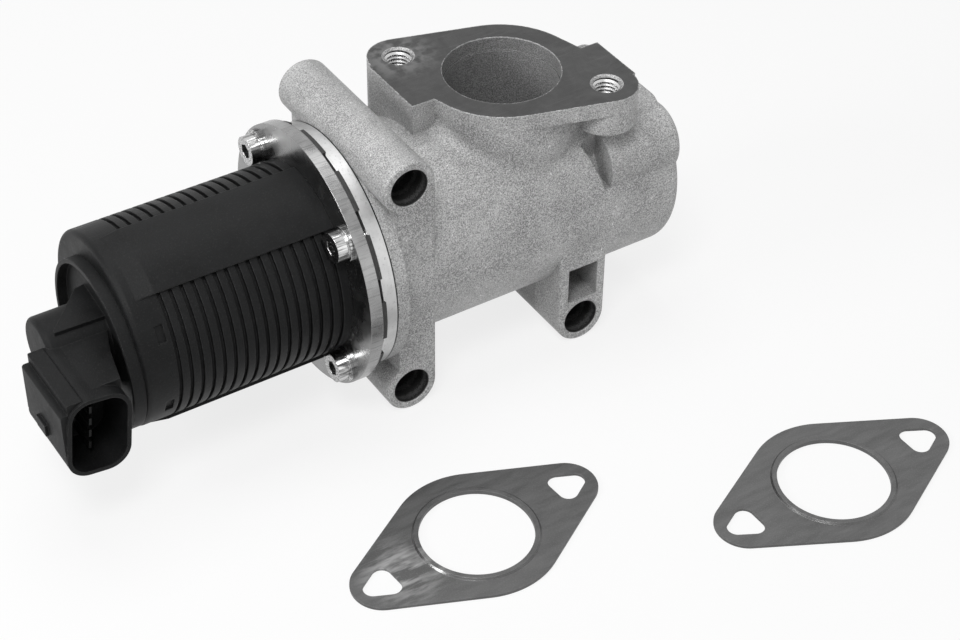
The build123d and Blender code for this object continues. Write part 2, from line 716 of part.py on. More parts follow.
def socket_prism(shrink, y0, y1):
    """Socket outline drawn out along Y."""
    face = Pos(SOCKET_X, y0, SOCKET_Z) * Rot(0, SOCKET_TILT, 0) * Rot(-90, 0, 0) * socket_outline(shrink)
    return extrude(face, y1 - y0, dir=(0, 1, 0))


def cap_disc():
    """Round cap with a raised rim, set a little below the valve axis."""
    at = (CAP_OFFSET_Y, CAP_OFFSET_Z)
    disc = xrod(CAP_X, BODY_END_X, CAP_R, *at)
    return disc - xrod(CAP_X, CAP_FACE_X, CAP_R - CAP_RIM_W, *at)


def cap_rib():
    """Slanting rib between the cap and the side of the tower."""
    plan = make_face(Polyline(*[(CAP_FACE_X - d, y) for d, y in RIB_PLAN], close=True))
    front_y = RIB_PLAN[-1][1]
    lid = Pos(CAP_FACE_X, front_y, RIB_LOW_TOP) * Rot(RIB_SLOPE, 0, 0) * Box(2 * BODY_R, 2 * BODY_R, BODY_R, align=BASE)
    return extrude(plan, RIB_LOW_TOP + 6) - lid


def connector_outside():
    """Socket outside with its flat key side, top ridge and latch lug."""
    body = socket_prism(0, SOCKET_FRONT_Y, SOCKET_BACK_Y)
    key = block(KEY_X, SOCKET_X, KEY_FRONT_Y, SOCKET_BACK_Y, KEY_LOW, KEY_TOP)
    body += fillet(key.edges().filter_by(Axis.Y).group_by(Axis.X)[0], KEY_ROUND)
    ridge = block(RIDGE_X0, RIDGE_X1, KEY_FRONT_Y, SOCKET_BACK_Y, 0, RIDGE_TOP)
    body += fillet(ridge.edges().filter_by(Axis.Y).group_by(Axis.Z)[-1], KEY_ROUND / 2)
    x, y0, y1, z0, z1 = LUG
    return body + block(x, KEY_X + 1, y0, y1, z0, z1)


def sensor_cap():
    """Cap with the sensor cavity, the tower and the connector socket in one moulding."""
    cap = cap_disc() + xrod(BODY_END_X, SHELL_END_X, BODY_HOLE_R - FIT_GAP)
    tower = xrod(CAP_FACE_X - TOWER_REACH, CAP_FACE_X, TOWER_R)
    cap += fillet(tower.edges().sort_by(Axis.X)[0], TOWER_ROUND)
    cap += cap_rib()
    cap += connector_outside()
    plan = make_face(Polyline(*[(CAP_FACE_X - d, y) for d, y in BRIDGE_PLAN], close=True))
    cap += Pos(0, 0, BRIDGE_LOW) * extrude(plan, BRIDGE_TOP - BRIDGE_LOW)
    front_y = BRIDGE_PLAN[2][1]
    cap += block(RIDGE_X1, SOCKET_X, front_y, BRIDGE_PLAN[0][1], 0, BRIDGE_TOP)
    cap -= xrod(CAVITY_END_X, SHELL_END_X, CAP_CAVITY_R)
    cap -= xrod(TOWER_BORE_X, CAVITY_END_X, TOWER_BORE_R)
    cap -= socket_prism(SOCKET_WALL, SOCKET_FRONT_Y, SOCKET_FRONT_Y + SOCKET_CAVITY)
    cap -= pin_set(FIT_GAP)
    seal_x = (BODY_END_X + SHELL_END_X) / 2
    return cap - xtube(seal_x - 1.2, seal_x + 1.2, BODY_HOLE_R + 1, BODY_HOLE_R - 1)


def pin_set(grow):
    """Flat connector pins in one row along the socket."""
    pins = None
    floor = SOCKET_FRONT_Y + SOCKET_CAVITY
    for i in range(PIN_COUNT):
        offset = (i - (PIN_COUNT - 1) / 2) * PIN_PITCH
        y_mid = floor + (PIN_ROOT - PIN_REACH) / 2
        size = (PIN_T + 2 * grow, PIN_REACH + PIN_ROOT, PIN_W + 2 * grow)
        pin = Pos(SOCKET_X, y_mid, SOCKET_Z) * Rot(0, SOCKET_TILT, 0) * Pos(0, 0, offset) * Box(*size)
        pins = [pin] if pins is None else pins + [pin]
    return Compound(children=pins)


def connector_pins():
    return pin_set(0)


def cap_seal():
    x = (BODY_END_X + SHELL_END_X) / 2
    ring = Torus(BODY_HOLE_R - 0.5, 0.45)
    return Pos(x, 0, 0) * Rot(0, 90, 0) * ring


def sensor_plunger():
    """Pin that follows the end of the stem, with the wiper carrier on its far end."""
    return xrod(CARRIER_X, NUT_X, PLUNGER_R)


def wiper_carrier():
    half = CARRIER_W / 2
    arm = block(CARRIER_X - CARRIER_T, CARRIER_X, -half, half, -half, half)
    return arm


def wiper_contacts():
    """Two thin springy fingers that reach down to the track board."""
    half = CARRIER_W / 2
    low = -BOARD_DROP + FIT_GAP
    fingers = [block(CARRIER_X - CARRIER_T, CARRIER_X, y - 0.8, y + 0.8, low, -half) for y in (-3, 3)]
    return Compound(children=fingers)


def track_board():
    """Ceramic board with the resistor tracks."""
    x0 = CAVITY_END_X
    half = BOARD_W / 2
    low = -BOARD_DROP - BOARD_T
    return block(x0, SHELL_END_X - 0.2, -half, half, low, -BOARD_DROP)


def sensor_spring():
    x0 = TOWER_BORE_X + 0.05
    x1 = CARRIER_X - CARRIER_T - 0.05
    return helix_spring(x0, x1, SENSOR_SPRING_R, SENSOR_WIRE_R, SENSOR_TURNS)


def gasket_hole(side):
    """Triangular bolt hole with its apex pointing outward."""
    pts = [(side * GASKET_HOLE_IN, GASKET_HOLE_HALF), (side * GASKET_HOLE_IN, -GASKET_HOLE_HALF)]
    tri = make_face(Polyline(*pts, (side * GASKET_HOLE_OUT, 0), close=True))
    return fillet(tri.vertices(), GASKET_HOLE_ROUND)


def gasket(place):
    """Thin pressed gasket with a raised bead round its bore."""
    x, y, angle = place
    sheet = rhombus(GASKET_RIM_R, GASKET_LOBE_R, GASKET_PITCH / 2, 0)
    sheet -= gasket_hole(1)
    sheet -= gasket_hole(-1)
    plate = extrude(sheet, GASKET_T)
    bead = Cylinder(GASKET_BEAD_R, GASKET_T + GASKET_BEAD_RISE, align=BASE)
    top = GASKET_T + GASKET_BEAD_RISE
    bead = chamfer(bead.edges().sort_by(Axis.Z)[-1], GASKET_BEAD_RISE)
    plate += bead
    plate -= Cylinder(GASKET_BORE_R, top, align=BASE)
    return Pos(x, y, REST_Z) * Rot(0, 0, angle) * plate


def save(name, shape):
    """Lower a piece so that the origin is the port face, and write it."""
    solids = [solid.moved(Pos(0, 0, -PORT_HEIGHT)) for solid in shape.solids()]
    export_step(Compound(solids), "parts/" + name + ".step")


PIECES = {
    "valve_housing": valve_housing,
    "end_plug": end_plug,
    "valve_seat": valve_seat,
    "stem_guide": stem_guide,
    "stem_seal": stem_seal,
    "seal_cup": seal_cup,
    "adapter_ring": adapter_ring,
    "spacer_gasket": spacer_gasket,
    "mounting_plate": mounting_plate,
    "plate_screws": plate_screws,
    "solenoid_housing": solenoid_housing,
    "body_seal": body_seal,
    "flux_shell": flux_shell,
    "rear_pole": rear_pole,
    "front_pole": front_pole,
    "guide_sleeve": guide_sleeve,
    "bobbin": bobbin,
    "coil_winding": coil_winding,
    "coil_terminals": coil_terminals,
    "sensor_cap": sensor_cap,
    "connector_pins": connector_pins,
    "cap_seal": cap_seal,
    "track_board": track_board,
    "valve_stem": valve_stem,
    "valve_poppet": valve_poppet,
    "armature": armature,
    "armature_nut": armature_nut,
    "sensor_plunger": sensor_plunger,
    "wiper_carrier": wiper_carrier,
    "wiper_contacts": wiper_contacts,
    "return_spring": return_spring,
    "sensor_spring": sensor_spring,
}


def main():
    os.makedirs("parts", exist_ok=True)
    for name, make in PIECES.items():
        save(name, make())
    for name, place in GASKET_PLACES.items():
        save(name, gasket(place))


main()
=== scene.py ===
import math

import bpy
from mathutils import Matrix, Vector


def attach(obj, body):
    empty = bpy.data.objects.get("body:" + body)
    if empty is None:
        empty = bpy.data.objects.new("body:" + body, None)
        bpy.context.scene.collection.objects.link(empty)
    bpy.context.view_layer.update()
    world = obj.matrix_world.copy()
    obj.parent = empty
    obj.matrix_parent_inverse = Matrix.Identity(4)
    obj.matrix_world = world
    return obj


# Exhaust gas valve with two loose gaskets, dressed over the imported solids.
# All sizes are in metres, in the frame of the solids: the origin is the centre of the top port.

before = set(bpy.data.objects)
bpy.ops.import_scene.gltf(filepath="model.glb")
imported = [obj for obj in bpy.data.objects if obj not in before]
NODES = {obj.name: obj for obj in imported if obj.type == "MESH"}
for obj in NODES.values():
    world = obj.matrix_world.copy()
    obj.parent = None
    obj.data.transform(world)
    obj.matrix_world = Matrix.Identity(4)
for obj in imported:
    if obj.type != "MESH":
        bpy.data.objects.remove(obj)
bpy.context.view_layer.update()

MM = 0.001
FLOOR_Z = -0.0824
AXIS_Z = -0.039            # height of the valve axis
FLOOR_SHADE = 0.2          # share of the floor that takes shadow, the rest is plain white
FLOOR_FADE = (0.25, 0.6)   # distances from the port's axis between which that share goes to nothing

# Camera, solved from the photograph
CAM_AT = (-0.2880, -0.4329, 0.3437)
CAM_RIGHT = (0.843, -0.538, 0.011)
CAM_UP = (0.338, 0.546, 0.766)
CAM_LENS = 82.54
CAM_SENSOR = 36.0
CAM_CLIP = (0.01, 20.0)

# Surfaces of the casting that have a finish of their own, with painted shade in the bore and the drilled
# holes
PORT_BORE_R = 16.9 * MM
BOSS_HOLES = ((-48.0 * MM, -4.4 * MM), (-48.0 * MM, -74.4 * MM), (10.4 * MM, -74.4 * MM))
BOSS_HOLE_R = 5.5 * MM

# Threads of the two screw holes beside the port
THREAD_PLACES = ((21.213 * MM, -21.213 * MM), (-21.213 * MM, 21.213 * MM))
THREAD_R = 4.0 * MM
THREAD_PITCH = 1.25 * MM
THREAD_DEPTH = 0.62 * MM
THREAD_FROM_Z = -0.75 * MM
THREAD_TURNS = 10
THREAD_STEPS = 40          # points round each turn
THREAD_SINK = 0.02 * MM    # depth of the turns' roots in the wall
THREAD_ROOT = 0.46         # half width of a turn at its root and its crest, in pitches
THREAD_CREST = 0.08
TAPPED_DEPTH = 15.0 * MM
SHARP_ANGLE = 35.0         # edges of the pieces sharper than this, in degrees, aren't smoothed

# Finish of the casting. Bare aluminium has a metallic share of 1. Here it was turned down, by trial,
# until the tones came near the photograph's.
CAST_METALLIC = 0.3
CAST_GRAIN = 2800.0        # noise scale of the blasted speckle
CAST_EDGE = 0.7 * MM       # softness of the casting's edges
MASK_FROM = 0.1 * MM       # a mask round a hole fades out between these distances past its radius
MASK_TO = 0.2 * MM
PLASTIC_SHEEN = 0.2        # level of the black plastic's reflections, 0.5 would be the usual one

JOINT_X = -56.0 * MM
WORN_PATCH = (-84.0 * MM, -84.0 * MM)     # on the front gasket, left of its bore

# Cylinders whose meeting lines get a cast fillet: radii, and centres of the lengthways ones
NECK_R = 23.5 * MM
BARREL_R = 30.6 * MM
BARREL_Z = AXIS_Z - 1.1 * MM
BULGE_R = 10.8 * MM
BULGE_Y = -18.8 * MM
BULGE_Z = AXIS_Z + 12.6 * MM
NECK_FILLET = 4.0 * MM
FILLET_FROM = 182.0
FILLET_TO = 352.0
BULGE_FILLET = 4.0 * MM
BULGE_FILLET_X = (20.0 * MM, 41.5 * MM)
FILLET_STEPS = 96          # sections round the neck
NECK_ROOT_IN = 0.99        # roots of the fillets lie this much nearer to the axis, inside the casting
NECK_ROOT_SINK = 0.3 * MM
BULGE_ROOT_IN = 0.985

# Lamps: name, place, size and power, all turned towards one point of the part
LAMP_TARGET = (-0.03, -0.02, -0.04)
LAMPS = (
    ("key", (-0.45, -0.45, 0.95), 0.35, 6.5),
    ("left", (-1.0, 0.05, 0.42), 0.3, 4.0),
    ("top", (0.0, 0.25, 0.95), 0.6, 3.4),
    ("front", (0.35, -0.95, 0.1), 0.6, 0.6),
)
WHITE = (1.0, 1.0, 1.0, 1.0)
FLOOR_COLOUR = (0.86, 0.86, 0.86, 1.0)
FLOOR_HALF = 3.0           # half the floor's width
FLOOR_DROP = 0.05 * MM     # the floor lies this much below the part
WORLD_LIGHT = 0.2          # strength of the surroundings as light on the part


# Helpers for node trees

def new_material(name, **sockets):
    """A node material, with constants set straight on the shader's sockets."""
    mat = bpy.data.materials.new(name)
    mat.use_nodes = True
    shader = mat.node_tree.nodes["Principled BSDF"]
    for key, value in sockets.items():
        shader.inputs[key.replace("_", " ")].default_value = value
    return mat, mat.node_tree, shader


def add(tree, kind, **inputs):
    """A node with its inputs set: a socket is linked, a plain value is stored."""
    node = tree.nodes.new("ShaderNode" + kind)
    for key, value in inputs.items():
        if key.startswith("p_"):
            setattr(node, key[2:], value)
    for key, value in inputs.items():
        if key.startswith("p_"):
            continue
        socket = node.inputs[int(key[1:])] if key[1:].isdigit() else node.inputs[key.replace("_", " ")]
        if isinstance(value, bpy.types.NodeSocket):
            tree.links.new(value, socket)
        else:
            socket.default_value = value
    return node


def place(tree):
    """Object coordinates, which are metres in the frame of the solids."""
    return add(tree, "TexCoord").outputs["Object"]


def facing(tree):
    """Components of the surface's own direction."""
    return add(tree, "SeparateXYZ", Vector=add(tree, "TexCoord").outputs["Normal"]).outputs


def times(tree, *values):
    """Product of several masks."""
    result = values[0]
    for value in values[1:]:
        result = maths(tree, "MULTIPLY", result, value)
    return result


def distance(tree, first, second, at):
    """Distance of two coordinates from a point of their plane."""
    a = maths(tree, "SUBTRACT", first, at[0])
    b = maths(tree, "SUBTRACT", second, at[1])
    flat = add(tree, "CombineXYZ", X=a, Y=b, Z=0.0).outputs[0]
    return add(tree, "VectorMath", p_operation="LENGTH", i0=flat).outputs["Value"]


def within(tree, first, second, at, radius):
    """Mask of what lies inside a hole's radius, in the plane of two coordinates."""
    return span(tree, distance(tree, first, second, at), radius + MASK_TO, radius + MASK_FROM)


def edge_wear_and_highlight(tree, radius, low, high):
    """Mask of the outside edges, where the rounded normal leaves the plain one."""
    rounded = add(tree, "Bevel", Radius=radius, p_samples=6).outputs["Normal"]
    plain = add(tree, "NewGeometry").outputs["Normal"]
    same = add(tree, "VectorMath", p_operation="DOT_PRODUCT", i0=rounded, i1=plain).outputs["Value"]
    return span(tree, same, high, low)


def noise(tree, where, scale, detail=2.0, rough=0.5, distort=0.0):
    node = add(tree, "TexNoise", Vector=where, Scale=scale, Detail=detail, Roughness=rough,
               Distortion=distort)
    return node.outputs["Fac"]


def stretched(tree, where, scale):
    """Coordinates stretched along an axis, for brushed or ground surfaces."""
    return add(tree, "VectorMath", p_operation="MULTIPLY", i0=where, i1=scale).outputs["Vector"]


def maths(tree, operation, a, b=0.0):
    return add(tree, "Math", p_operation=operation, i0=a, i1=b).outputs[0]


def span(tree, value, low, high, to_low=0.0, to_high=1.0):
    """A value carried from one range to another, and held at its ends."""
    return add(tree, "MapRange", i0=value, i1=low, i2=high, i3=to_low, i4=to_high).outputs[0]


def blend(tree, factor, a, b):
    """Colour mix; a and b are colours or sockets."""
    node = tree.nodes.new("ShaderNodeMix")
    node.data_type = "RGBA"
    for socket, value in ((node.inputs[0], factor), (node.inputs[6], a), (node.inputs[7], b)):
        if isinstance(value, bpy.types.NodeSocket):
            tree.links.new(value, socket)
        else:
            socket.default_value = (*value, 1.0) if isinstance(value, tuple) else value
    return node.outputs[2]


def grey(level, warm=0.0):
    return (level * (1 + warm), level, level * (1 - warm))


def bump(tree, height, strength, depth, normal=None):
    node = add(tree, "Bump", Height=height, Strength=strength, Distance=depth)
    if normal is not None:
        tree.links.new(normal, node.inputs["Normal"])
    return node.outputs["Normal"]


def soft_edges(tree, radius):
    node = add(tree, "Bevel", Radius=radius, p_samples=4)
    return node.outputs["Normal"]


def connect(tree, shader, tone, rough, normal):
    """Link colour, roughness and normal to the shader."""
    for socket, value in (("Base Color", tone), ("Roughness", rough), ("Normal", normal)):
        tree.links.new(value, shader.inputs[socket])


def dress(mat, *names):
    """Give a CAD node's object this material in each of its slots."""
    for name in names:
        mesh = NODES[name].data
        if not mesh.materials:
            mesh.materials.append(mat)
        for i in range(len(mesh.materials)):
            mesh.materials[i] = mat


# Materials

def cast_surface(tree, where, grain):
    """Tone of the blasted skin: a fine speckle over soft clouds, with a few stains."""
    blotch = noise(tree, where, 80.0, 5.0, 0.65)
    stain = noise(tree, where, 190.0, 3.0, 0.55, 0.8)
    tone = blend(tree, span(tree, blotch, 0.35, 0.68), grey(0.24), grey(0.4))
    tone = blend(tree, span(tree, grain, 0.46, 0.66, 0.0, 0.75), tone, grey(0.75))
    tone = blend(tree, span(tree, grain, 0.46, 0.32, 0.0, 0.8), tone, grey(0.11))
    tone = blend(tree, span(tree, stain, 0.62, 0.75, 0.0, 0.4), tone, grey(0.2, 0.02))
    fleck = times(tree, span(tree, noise(tree, where, 1300.0), 0.68, 0.74), span(tree, blotch, 0.4, 0.6))
    return blend(tree, fleck, tone, grey(0.9))


def milled_surface(tree, where):
    """Tone of the port face: smooth metal painted dark as its dark reflection, with smears and faint cutter
    marks.
    """
    milled = noise(tree, stretched(tree, where, (60.0, 900.0, 1.0)), 1.0, 3.0, 0.6)
    smear = noise(tree, where, 100.0, 3.0, 0.6, 1.2)
    tone = blend(tree, span(tree, smear, 0.38, 0.68), grey(0.03), grey(0.05))
    return blend(tree, span(tree, milled, 0.55, 0.8, 0.0, 0.25), tone, grey(0.14))


def cast_normal(tree, where, grain, face, edges):
    """Blasted roughness and a slight waviness, on soft edges if there are any."""
    fine = noise(tree, where, 5200.0, 1.0)
    rise = add(tree, "Mix", i0=face, i2=grain, i3=0.5).outputs[0]
    rise = maths(tree, "ADD", rise, maths(tree, "MULTIPLY", fine, 0.3))
    normal = bump(tree, rise, 0.6, 0.00025, edges)
    cloud = noise(tree, where, 70.0, 3.0, 0.6)
    return bump(tree, cloud, 0.25, 0.0012, normal)


def cast_fillet():
    """The blasted skin alone, for the fillets that are laid over the casting."""
    mat, tree, shader = new_material("cast_fillet", Metallic=CAST_METALLIC, IOR=1.5)
    where = place(tree)
    grain = noise(tree, where, CAST_GRAIN, 3.0, 0.65)
    connect(tree, shader, cast_surface(tree, where, grain),
            span(tree, grain, 0.3, 0.7, 0.42, 0.6),
            cast_normal(tree, where, grain, 0.0, None))
    return mat


def cast_aluminium():
    """Blasted casting, with a milled port face painted dark as its reflection, painted shade in the bore and
    in the drilled and tapped holes, and bright edges of wear and painted highlight.
    """
    mat, tree, shader = new_material("cast_aluminium", Metallic=CAST_METALLIC, IOR=1.5)
    where = place(tree)
    x, y, z = add(tree, "SeparateXYZ", Vector=where).outputs
    up = facing(tree)[2]
    grain = noise(tree, where, CAST_GRAIN, 3.0, 0.65)
    tone = cast_surface(tree, where, grain)

    face = times(tree, span(tree, z, -0.0004, -0.0002), span(tree, z, 0.0004, 0.0002),
                 span(tree, up, 0.8, 0.9))
    # The port face is painted dark as a dark reflection; a lighter patch round the second screw hole is
    # painted reflection too.
    face_reflection_tone = milled_surface(tree, where)
    rub_and_reflection = span(tree, distance(tree, x, y, THREAD_PLACES[1]), 0.013, 0.006)
    rub_and_reflection = times(tree, rub_and_reflection, span(tree, noise(tree, where, 300.0), 0.4, 0.6, 0.0, 0.5))
    face_reflection_tone = blend(tree, rub_and_reflection, face_reflection_tone, grey(0.24))
    tone = blend(tree, face, tone, face_reflection_tone)
    # Bright edges near the port face: partly wear, partly a painted highlight.
    edge = times(tree, edge_wear_and_highlight(tree, CAST_EDGE, 0.75, 0.95), span(tree, z, -0.0016, -0.0008),
                 span(tree, noise(tree, where, 900.0), 0.45, 0.6, 0.25, 1.0))
    tone = blend(tree, edge, tone, grey(0.75))

    in_bore = times(tree, within(tree, x, y, (0.0, 0.0), PORT_BORE_R), span(tree, z, -0.0002, -0.0004))
    bore_tone_and_shade = blend(tree, span(tree, grain, 0.4, 0.66), grey(0.17), grey(0.46))
    # Painted shade: up-facing surfaces deep in the bore are made near black.
    bore_tone_and_shade = blend(tree, span(tree, up, 0.3, 0.6), bore_tone_and_shade, grey(0.03))
    tone = blend(tree, in_bore, tone, bore_tone_and_shade)

    # Drilled holes: their walls get painted shade, near black, with drill rings.
    hole = None
    for hx, hz in BOSS_HOLES:
        this = within(tree, x, z, (hx, hz), BOSS_HOLE_R)
        hole = this if hole is None else maths(tree, "MAXIMUM", hole, this)
    rings = add(tree, "TexWave", p_bands_direction="Y", Vector=where, Scale=75.0, Distortion=3.0,
                Detail=3.0, Detail_Scale=30.0)
    hole_shade_tone = blend(tree, span(tree, rings.outputs["Fac"], 0.5, 1.0), grey(0.018), grey(0.09))
    tone = blend(tree, hole, tone, hole_shade_tone)
    # Walls of the tapped holes: painted shade, near black, behind the thread pieces.
    for centre in THREAD_PLACES:
        tapped = times(tree, within(tree, x, y, centre, THREAD_R), span(tree, z, -0.0006, -0.0008),
                       span(tree, z, -TAPPED_DEPTH - 0.0002, -TAPPED_DEPTH))
        tone = blend(tree, tapped, tone, grey(0.02))

    rough = add(tree, "Mix", i0=face, i2=span(tree, grain, 0.3, 0.7, 0.42, 0.6), i3=0.36).outputs[0]
    connect(tree, shader, tone, rough, cast_normal(tree, where, grain, face, soft_edges(tree, CAST_EDGE)))
    return mat


def machined_aluminium():
    """Turned ring, with a painted shadow line along the gap where it meets the casting."""
    mat, tree, shader = new_material("machined_aluminium", Metallic=0.85, IOR=1.5)
    where = place(tree)
    x = add(tree, "SeparateXYZ", Vector=where).outputs[0]
    speck = noise(tree, where, 1800.0, 2.0, 0.6)
    cloud = noise(tree, where, 160.0, 3.0, 0.6)
    lines = noise(tree, stretched(tree, where, (5200.0, 60.0, 60.0)), 1.0, 2.0)
    tone = blend(tree, span(tree, cloud, 0.35, 0.7), grey(0.5), grey(0.62))
    tone = blend(tree, span(tree, speck, 0.6, 0.75, 0.0, 0.6), tone, grey(0.22))
    # Painted shadow of the gap between the ring and the casting.
    gap_shade = span(tree, x, JOINT_X - 0.0004, JOINT_X - 0.0003)
    connect(tree, shader, blend(tree, gap_shade, tone, grey(0.01)),
            span(tree, lines, 0.3, 0.7, 0.3, 0.45),
            bump(tree, lines, 0.25, 0.0001, soft_edges(tree, 0.0003)))
    return mat


def plate_zinc():
    """Punched and plated steel: bright face, and an edge with marks across it."""
    mat, tree, shader = new_material("zinc_plate", Metallic=1.0)
    where = place(tree)
    end = maths(tree, "ABSOLUTE", facing(tree)[0])
    rim = span(tree, end, 0.5, 0.3)
    cloud = noise(tree, where, 130.0, 3.0, 0.6)
    marks = noise(tree, stretched(tree, where, (120.0, 2300.0, 2300.0)), 1.0, 2.0)
    tone = blend(tree, span(tree, cloud, 0.3, 0.7), grey(0.24), grey(0.34))
    tone = blend(tree, times(tree, rim, span(tree, marks, 0.5, 0.7, 0.0, 0.6)), tone, grey(0.16))
    rise = times(tree, rim, marks)
    connect(tree, shader, tone, span(tree, cloud, 0.3, 0.7, 0.2, 0.32),
            bump(tree, rise, 0.3, 0.0001, soft_edges(tree, 0.0003)))
    return mat


def bright_screw():
    """Plated screw: mirror bright, with fine grooves along the head."""
    mat, tree, shader = new_material("bright_screw", Metallic=1.0)
    where = place(tree)
    marks = noise(tree, stretched(tree, where, (200.0, 1900.0, 1900.0)), 1.0, 2.0)
    tone = blend(tree, span(tree, marks, 0.4, 0.65), grey(0.6), grey(0.16))
    connect(tree, shader, tone,
            span(tree, marks, 0.3, 0.7, 0.12, 0.25),
            bump(tree, marks, 0.5, 0.00015, soft_edges(tree, 0.0003)))
    return mat


def black_plastic(name, low, high, rough):
    """Glass-filled moulding: nearly black, with a fine grain and less sheen than usual."""
    mat, tree, shader = new_material(name, IOR=1.4, Specular_IOR_Level=PLASTIC_SHEEN)
    where = place(tree)
    grain = noise(tree, where, 2400.0, 2.0, 0.55)
    cloud = noise(tree, where, 90.0, 4.0, 0.6, 0.4)
    rub_and_reflection = noise(tree, stretched(tree, where, (60.0, 700.0, 700.0)), 1.0, 2.0)
    tone = blend(tree, span(tree, cloud, 0.35, 0.7), grey(low, -0.03), grey(high, -0.03))
    tone = blend(tree, span(tree, grain, 0.55, 0.75, 0.0, 0.5), tone, grey(high * 2.6))
    # Lighter edges: a painted highlight along the moulding's edges.
    edge = times(tree, edge_wear_and_highlight(tree, 0.0004, 0.8, 0.95),
                 span(tree, noise(tree, where, 500.0), 0.4, 0.6, 0.3, 1.0))
    tone = blend(tree, edge, tone, grey(0.045))
    wear = maths(tree, "ADD", span(tree, cloud, 0.3, 0.7, rough, rough + 0.14),
                 span(tree, rub_and_reflection, 0.6, 0.75, 0.0, -0.08))
    connect(tree, shader, tone, wear, bump(tree, grain, 0.4, 0.00016, soft_edges(tree, 0.0005)))
    return mat


def dark_fibre():
    """Pressed fibre spacer, dark grey, with a fine fibre grain."""
    mat, tree, shader = new_material("dark_fibre", IOR=1.45)
    where = place(tree)
    fibre = noise(tree, stretched(tree, where, (4200.0, 500.0, 500.0)), 1.0, 3.0, 0.6)
    tone = blend(tree, span(tree, fibre, 0.35, 0.7), grey(0.015), grey(0.06))
    connect(tree, shader, tone,
            span(tree, fibre, 0.3, 0.7, 0.55, 0.75),
            bump(tree, fibre, 0.5, 0.0002))
    return mat


def gasket_metal():
    """Coated sheet steel, dark and finely grained, with one worn patch on the front gasket."""
    mat, tree, shader = new_material("gasket_metal", Metallic=0.8, IOR=1.5)
    where = place(tree)
    x, y, _ = add(tree, "SeparateXYZ", Vector=where).outputs
    grain = noise(tree, where, 2500.0, 2.0, 0.6)
    streak = noise(tree, stretched(tree, where, (90.0, 420.0, 90.0)), 1.0, 3.0, 0.6)
    tone = blend(tree, span(tree, streak, 0.35, 0.7), grey(0.1), grey(0.13))
    tone = blend(tree, span(tree, grain, 0.5, 0.75, 0.0, 0.5), tone, grey(0.18))
    patch = span(tree, distance(tree, x, y, WORN_PATCH), 0.014, 0.004)
    worn = times(tree, patch, span(tree, streak, 0.42, 0.62))
    tone = blend(tree, worn, tone, grey(0.34))
    slope = facing(tree)[2]
    bead = times(tree, span(tree, slope, 0.9, 0.8), span(tree, slope, 0.3, 0.5))
    rough = add(tree, "Mix", i0=bead, i2=span(tree, streak, 0.3, 0.7, 0.36, 0.5), i3=0.22).outputs[0]
    connect(tree, shader, tone, rough, bump(tree, grain, 0.2, 0.0001, soft_edges(tree, 0.00025)))
    return mat


def plain_metal(name, low, high, rough, warm=(1.0, 1.0, 1.0)):
    """Turned metal of the hidden pieces."""
    mat, tree, shader = new_material(name, Metallic=0.95)
    where = place(tree)
    cloud = noise(tree, where, 200.0, 3.0, 0.6)
    lines = noise(tree, stretched(tree, where, (4000.0, 80.0, 80.0)), 1.0, 2.0)
    a = tuple(low * w for w in warm)
    b = tuple(high * w for w in warm)
    connect(tree, shader, blend(tree, span(tree, cloud, 0.3, 0.7), a, b),
            span(tree, lines, 0.3, 0.7, rough, rough + 0.15),
            bump(tree, lines, 0.3, 0.0001))
    return mat


def copper_winding():
    """Enamelled wire: fine turns side by side along the coil."""
    mat, tree, shader = new_material("copper", Metallic=0.9)
    where = place(tree)
    wave = add(tree, "TexWave", p_bands_direction="X", Vector=where, Scale=330.0, Distortion=0.4, Detail=1.0)
    turns = wave.outputs["Fac"]
    cloud = noise(tree, where, 300.0)
    tone = blend(tree, turns, (0.22, 0.07, 0.03), (0.62, 0.27, 0.12))
    tone = blend(tree, span(tree, cloud, 0.4, 0.7, 0.0, 0.3), tone, (0.45, 0.16, 0.07))
    connect(tree, shader, tone,
            span(tree, cloud, 0.3, 0.7, 0.25, 0.4),
            bump(tree, turns, 0.7, 0.0002))
    return mat


def dull(name, low, high, rough):
    """Rubber or ceramic: a fine dull grain."""
    mat, tree, shader = new_material(name, IOR=1.5)
    where = place(tree)
    grain = noise(tree, where, 1500.0, 3.0, 0.6)
    connect(tree, shader, blend(tree, span(tree, grain, 0.3, 0.7), low, high),
            span(tree, grain, 0.3, 0.7, rough, rough + 0.15),
            bump(tree, grain, 0.3, 0.0001))
    return mat


FILLET_CAST = cast_fillet()
dress(cast_aluminium(), "valve_housing")
dress(machined_aluminium(), "adapter_ring")
dress(dark_fibre(), "spacer_gasket")
dress(plate_zinc(), "mounting_plate")
dress(bright_screw(), "plate_screws")
dress(black_plastic("housing_plastic", 0.006, 0.011, 0.42), "solenoid_housing")
dress(black_plastic("cap_plastic", 0.006, 0.011, 0.45), "sensor_cap")
dress(black_plastic("inner_plastic", 0.014, 0.022, 0.45), "bobbin", "sensor_plunger", "wiper_carrier")
dress(gasket_metal(), "gasket_front", "gasket_right")
dress(plain_metal("steel", 0.42, 0.55, 0.28), "end_plug", "valve_seat", "seal_cup", "flux_shell",
      "rear_pole", "front_pole", "valve_stem", "valve_poppet", "armature", "armature_nut",
      "return_spring", "sensor_spring")
dress(plain_metal("brass", 0.5, 0.62, 0.28, (1.2, 0.95, 0.5)), "stem_guide", "guide_sleeve",
      "coil_terminals", "wiper_contacts")
# The connector pins are tin, painted near black as shade deep in their socket.
dress(plain_metal("tin_in_painted_shade", 0.02, 0.04, 0.5), "connector_pins")
dress(copper_winding(), "coil_winding")
dress(dull("rubber", grey(0.012), grey(0.03), 0.6), "stem_seal", "body_seal", "cap_seal")
dress(dull("ceramic", grey(0.6, 0.02), grey(0.72, 0.02), 0.5), "track_board")


# Pieces laid over the solids

